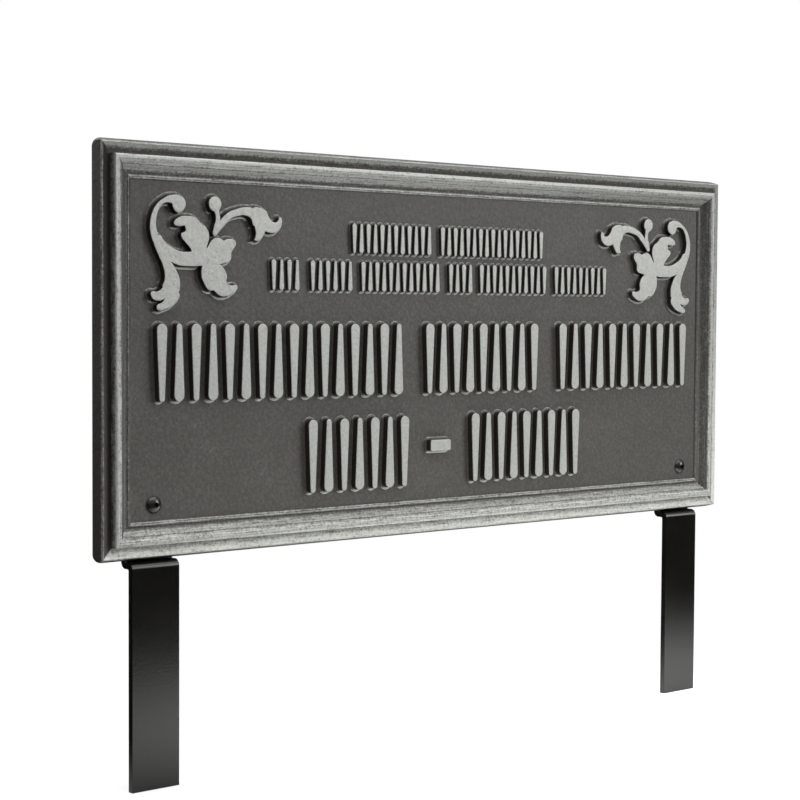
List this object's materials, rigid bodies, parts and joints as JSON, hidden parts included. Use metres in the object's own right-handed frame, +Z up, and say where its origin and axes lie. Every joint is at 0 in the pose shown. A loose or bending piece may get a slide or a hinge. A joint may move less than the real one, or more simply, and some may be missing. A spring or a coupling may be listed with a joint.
{
  "type": "memorial plaque",
  "caption": "Cast memorial plaque with a moulded frame, scroll-and-flower corners and rows of raised strokes, screwed to flat-bar ground stakes cut off at the ground.",
  "frame": {"origin": "on the ground, midway between the two stakes, at the middle of the bar's thickness", "axes": "+Z up, the plaque's face looks along -Y, +X to the right of someone who reads it"},
  "size_m": [0.419, 0.014, 0.2965],
  "materials": {
    "plaque_paint": "cast aluminium, dark pewter paint with silver rubbed over the raised parts",
    "stake_powder_coat": "satin black powder coat on flat steel bar",
    "screw_black_oxide": "black oxide, slightly glossy"
  },
  "bodies": {
    "root": {"plaque": "plaque_paint", "stake_left": "stake_powder_coat", "stake_right": "stake_powder_coat", "screw_left": "screw_black_oxide", "screw_right": "screw_black_oxide"}
  },
  "joints": []
}
